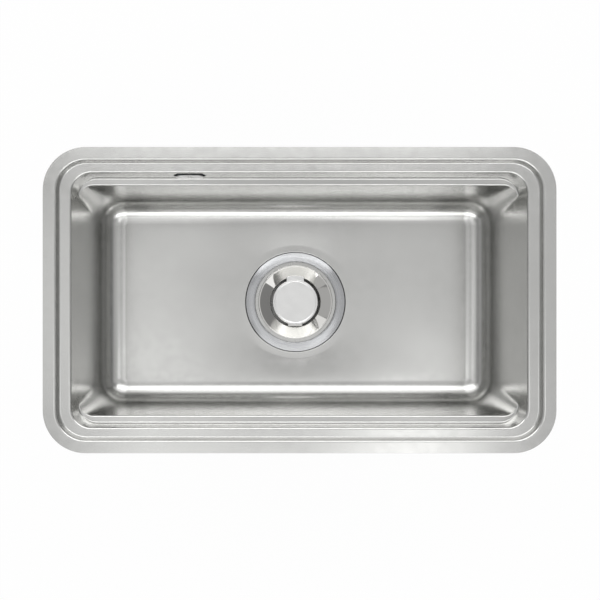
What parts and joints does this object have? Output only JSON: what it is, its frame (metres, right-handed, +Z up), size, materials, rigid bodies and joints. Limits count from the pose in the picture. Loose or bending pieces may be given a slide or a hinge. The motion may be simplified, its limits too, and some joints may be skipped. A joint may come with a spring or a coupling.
{
  "type": "undermount kitchen sink",
  "caption": "Undermount single-bowl steel kitchen sink with ledge and rails, a wide basket waste with bell trap, an overflow with hose, and swivel clips under its rim.",
  "frame": {"origin": "centre of the rim's flat top face, which meets the worktop's underside", "axes": "+X to the right along the bowl, +Y to the back wall with the overflow, +Z up"},
  "size_m": [0.78, 0.465, 0.4651],
  "materials": {
    "satin_steel": "satin, finely brushed",
    "polished_steel": "mirror polished",
    "basket_steel": "electropolished",
    "clip_steel": "zinc plated",
    "fastener_steel": "bright zinc",
    "damping_pad": "matt bitumen rubber",
    "gasket_rubber": "matt",
    "nut_plastic": "moulded, fine texture",
    "trap_plastic": "moulded polypropylene",
    "hose_plastic": "ribbed, slightly waxy"
  },
  "bodies": {
    "sink": {"bowl": "satin_steel", "drain_flange": "polished_steel", "overflow_cover": "satin_steel", "overflow_screw": "fastener_steel", "pad_floor_left": "damping_pad", "pad_floor_right": "damping_pad", "pad_front_wall": "damping_pad", "pad_back_wall": "damping_pad", "pad_left_wall": "damping_pad", "pad_right_wall": "damping_pad", "flange_gasket": "gasket_rubber", "underside_gasket": "gasket_rubber", "trap_gasket": "gasket_rubber", "outlet_washer": "gasket_rubber", "overflow_gasket": "gasket_rubber", "lock_nut": "nut_plastic", "coupling_nut": "nut_plastic", "outlet_nut": "nut_plastic", "trap_body": "trap_plastic", "tail_pipe": "trap_plastic", "overflow_elbow": "trap_plastic", "overflow_hose": "hose_plastic", "hose_bands": "fastener_steel", "clip_studs": "fastener_steel", "clip_washers": "fastener_steel", "clip_nuts": "fastener_steel"},
    "bell": {"bell_trap": "trap_plastic"},
    "basket": {"strainer_basket": "basket_steel"},
    "funnel": {"strainer_funnel": "polished_steel"},
    "cap": {"strainer_cap": "satin_steel"},
    "clip_front_left": {"clip_front_left": "clip_steel"},
    "clip_front_middle": {"clip_front_middle": "clip_steel"},
    "clip_front_right": {"clip_front_right": "clip_steel"},
    "clip_back_left": {"clip_back_left": "clip_steel"},
    "clip_back_middle": {"clip_back_middle": "clip_steel"},
    "clip_back_right": {"clip_back_right": "clip_steel"},
    "clip_left_end": {"clip_left_end": "clip_steel"},
    "clip_right_end": {"clip_right_end": "clip_steel"}
  },
  "joints": [
    {"name": "bell_lift", "type": "slide", "parent": "sink", "child": "bell", "axis": [0, 0, 1], "range_m": [0, 0.38]},
    {"name": "basket_lift", "type": "slide", "parent": "bell", "child": "basket", "axis": [0, 0, 1], "range_m": [0, 0.31]},
    {"name": "funnel_lift", "type": "slide", "parent": "basket", "child": "funnel", "axis": [0, 0, 1], "range_m": [0, 0.25]},
    {"name": "cap_lift", "type": "slide", "parent": "funnel", "child": "cap", "axis": [0, 0, 1], "range_m": [0, 0.25]},
    {"name": "clip_front_left_swivel", "type": "hinge", "parent": "sink", "child": "clip_front_left", "pos_m": [-0.25, -0.2238, -0.003], "axis": [0, 0, -1], "range_deg": [0, 90]},
    {"name": "clip_front_middle_swivel", "type": "hinge", "parent": "sink", "child": "clip_front_middle", "pos_m": [0, -0.2238, -0.003], "axis": [0, 0, -1], "range_deg": [0, 90]},
    {"name": "clip_front_right_swivel", "type": "hinge", "parent": "sink", "child": "clip_front_right", "pos_m": [0.25, -0.2238, -0.003], "axis": [0, 0, -1], "range_deg": [0, 90]},
    {"name": "clip_back_left_swivel", "type": "hinge", "parent": "sink", "child": "clip_back_left", "pos_m": [-0.25, 0.2238, -0.003], "axis": [0, 0, -1], "range_deg": [0, 90]},
    {"name": "clip_back_middle_swivel", "type": "hinge", "parent": "sink", "child": "clip_back_middle", "pos_m": [0, 0.2238, -0.003], "axis": [0, 0, -1], "range_deg": [0, 90]},
    {"name": "clip_back_right_swivel", "type": "hinge", "parent": "sink", "child": "clip_back_right", "pos_m": [0.25, 0.2238, -0.003], "axis": [0, 0, -1], "range_deg": [0, 90]},
    {"name": "clip_left_end_swivel", "type": "hinge", "parent": "sink", "child": "clip_left_end", "pos_m": [-0.3813, 0, -0.003], "axis": [0, 0, -1], "range_deg": [0, 90]},
    {"name": "clip_right_end_swivel", "type": "hinge", "parent": "sink", "child": "clip_right_end", "pos_m": [0.3813, 0, -0.003], "axis": [0, 0, -1], "range_deg": [0, 90]}
  ]
}
